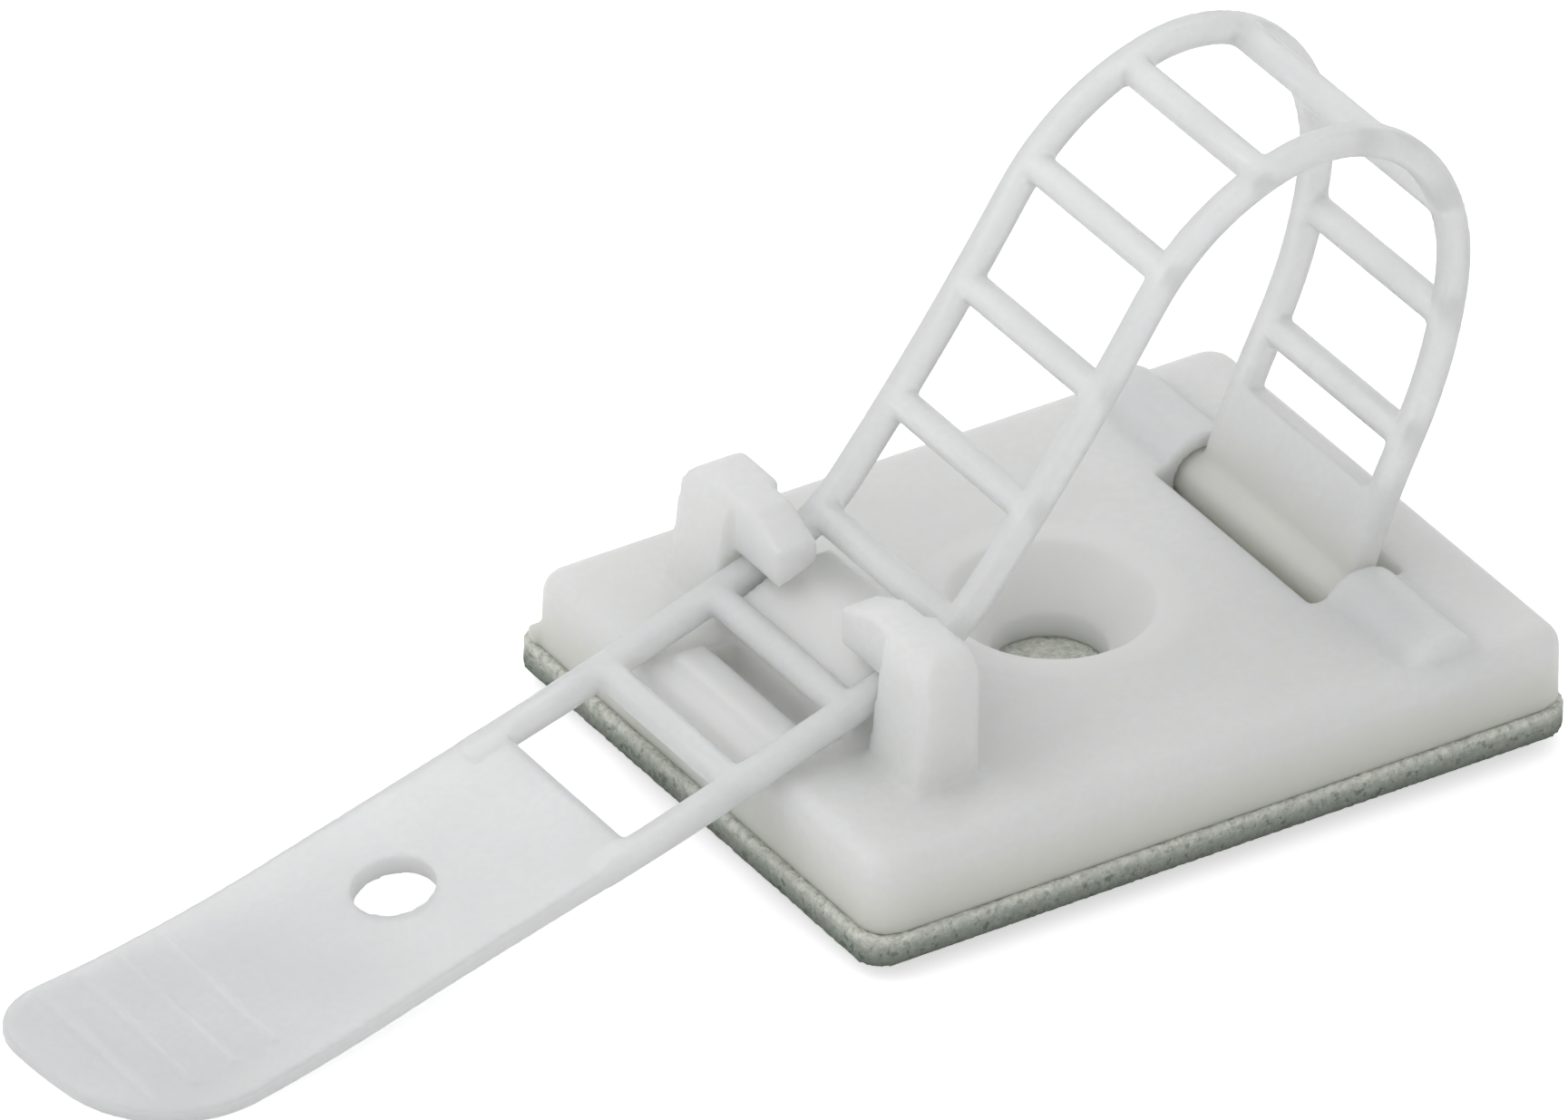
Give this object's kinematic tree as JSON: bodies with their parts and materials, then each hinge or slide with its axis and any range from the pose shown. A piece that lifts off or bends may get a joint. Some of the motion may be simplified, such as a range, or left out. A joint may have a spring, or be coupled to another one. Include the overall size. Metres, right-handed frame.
{
  "type": "adhesive-backed cable tie mount",
  "caption": "Adhesive-backed plate with a countersunk screw hole and a ladder strap closed into a cable loop, latched between posts with a free pull tab.",
  "frame": {"origin": "screw-hole axis at the underside of the adhesive pad", "axes": "+Z away from the mounting surface, +X from the hole towards the strap's knuckle, +Y across the strap"},
  "size_m": [0.0488, 0.0201, 0.0205],
  "materials": {
    "foam_tape": "matte speckled foam tape",
    "nylon_base": "translucent natural nylon, satin",
    "nylon_strap": "translucent natural nylon, satin"
  },
  "bodies": {
    "root": {"adhesive_pad": "foam_tape", "mount_base": "nylon_base", "strap": "nylon_strap"}
  },
  "joints": []
}
